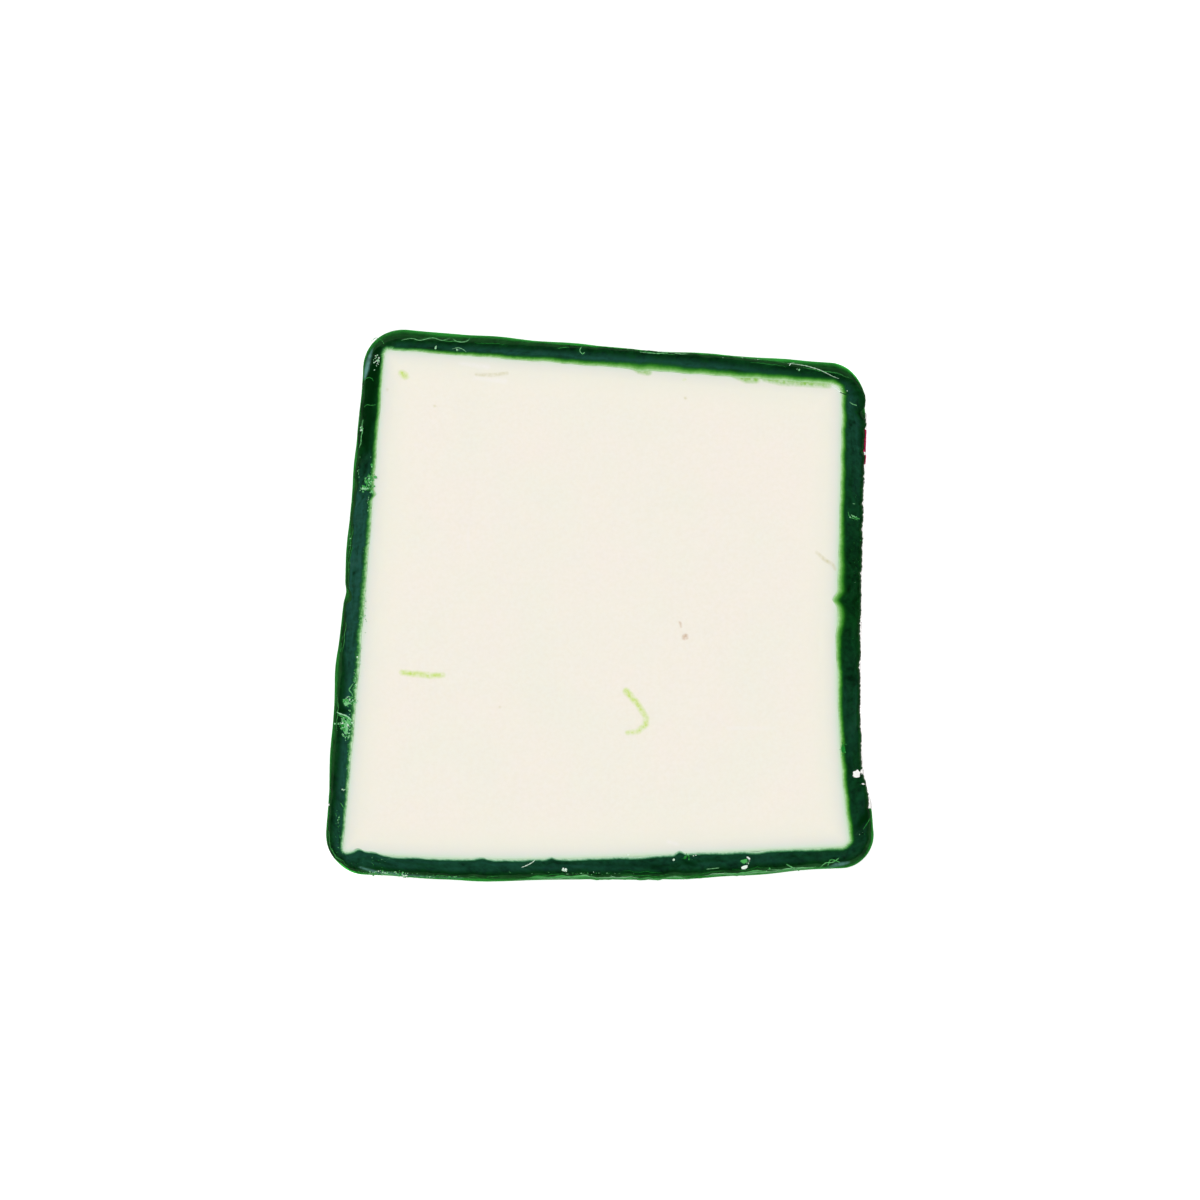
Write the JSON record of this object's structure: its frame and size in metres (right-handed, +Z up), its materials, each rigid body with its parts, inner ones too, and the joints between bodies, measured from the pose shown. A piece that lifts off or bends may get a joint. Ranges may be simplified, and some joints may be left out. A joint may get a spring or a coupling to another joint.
{
  "type": "waxed cheddar cheese slab",
  "caption": "Square slab of pale cheddar cut from a waxed loaf, lying on one cut face with the other up, with a thick green wax coat and a paper label on one side.",
  "frame": {"origin": "middle of the slab's outline, on the cut face that it lies on", "axes": "+Z up through the slab's thickness, +Y to the far side, +X to the side with the label"},
  "size_m": [0.0893, 0.09, 0.026],
  "materials": {
    "cheese": "pale cheddar, smooth knife-cut face with faint drag marks",
    "wax": "dark green cheese wax, satin where it is cut and glossy on the sides",
    "label": "white coated paper with a plain crimson field"
  },
  "bodies": {
    "root": {"cheese": "cheese", "wax_coat": "wax", "label": "label"}
  },
  "joints": []
}
